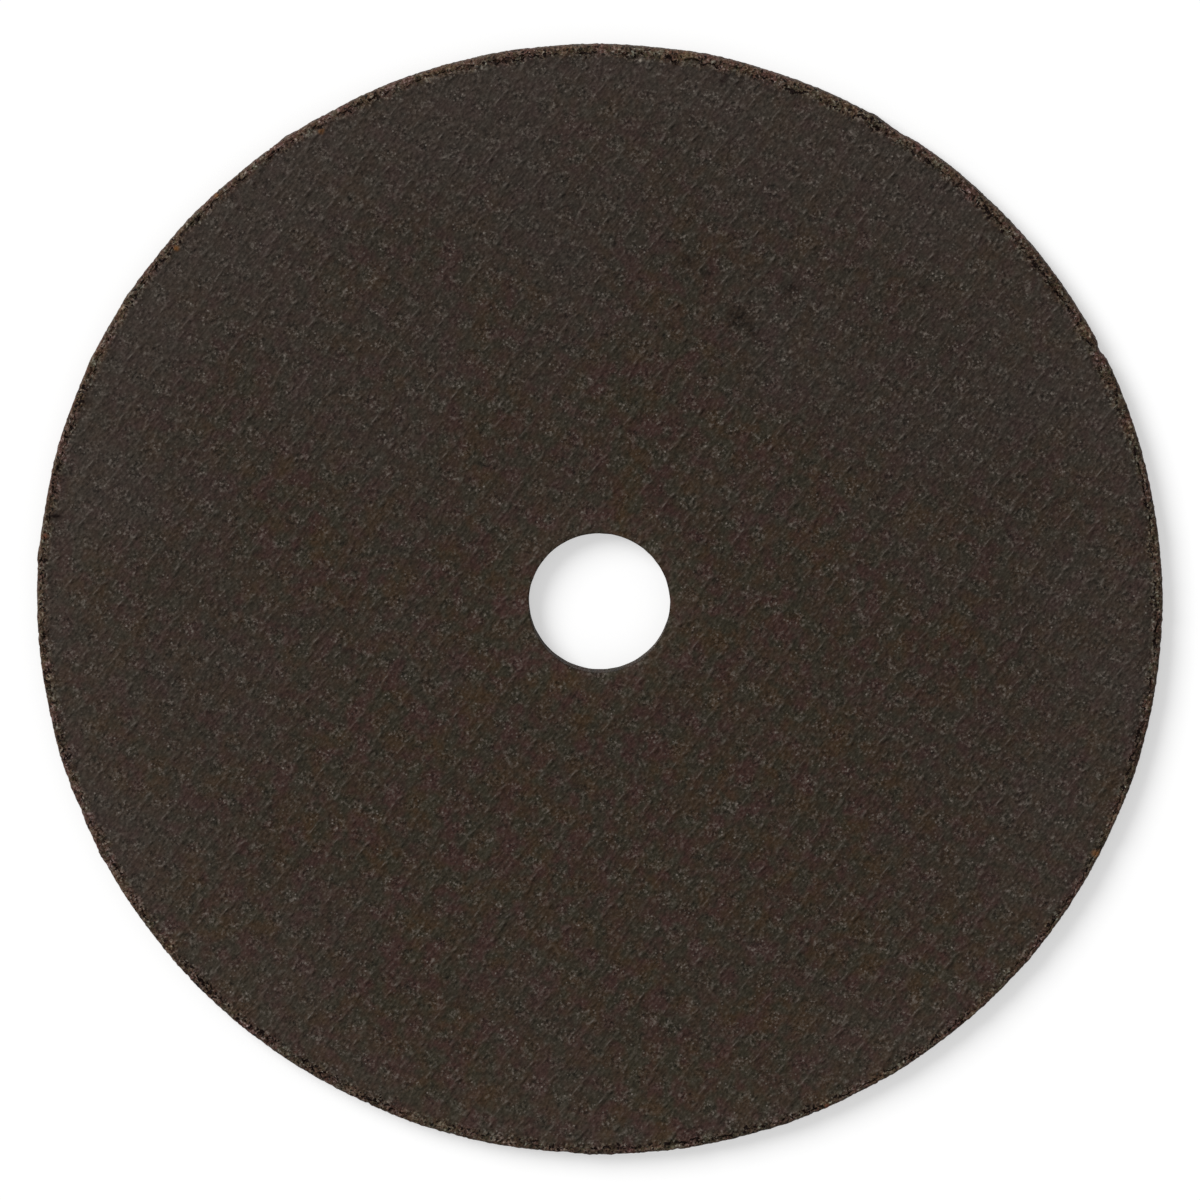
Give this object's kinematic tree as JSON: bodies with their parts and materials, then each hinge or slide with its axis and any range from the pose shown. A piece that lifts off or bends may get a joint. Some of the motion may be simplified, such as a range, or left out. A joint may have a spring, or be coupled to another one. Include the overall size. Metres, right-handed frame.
{
  "type": "cut off wheel",
  "caption": "Thin round resin-bonded abrasive cutting disc with a plain arbor hole, a woven glass cloth face on each side and a bare grainy rim.",
  "frame": {"origin": "on the bore's axis, at the level of the back cloth that the wheel lies on", "axes": "+Z along the bore axis, out of the front woven face; +Y towards the top of the picture"},
  "size_m": [0.0762, 0.0762, 0.0016],
  "materials": {
    "bonded_abrasive": "matt dark brown phenolic resin full of fine grain, pressed with a glass cloth weave"
  },
  "bodies": {
    "root": {"cutoff_wheel": "bonded_abrasive"}
  },
  "joints": []
}
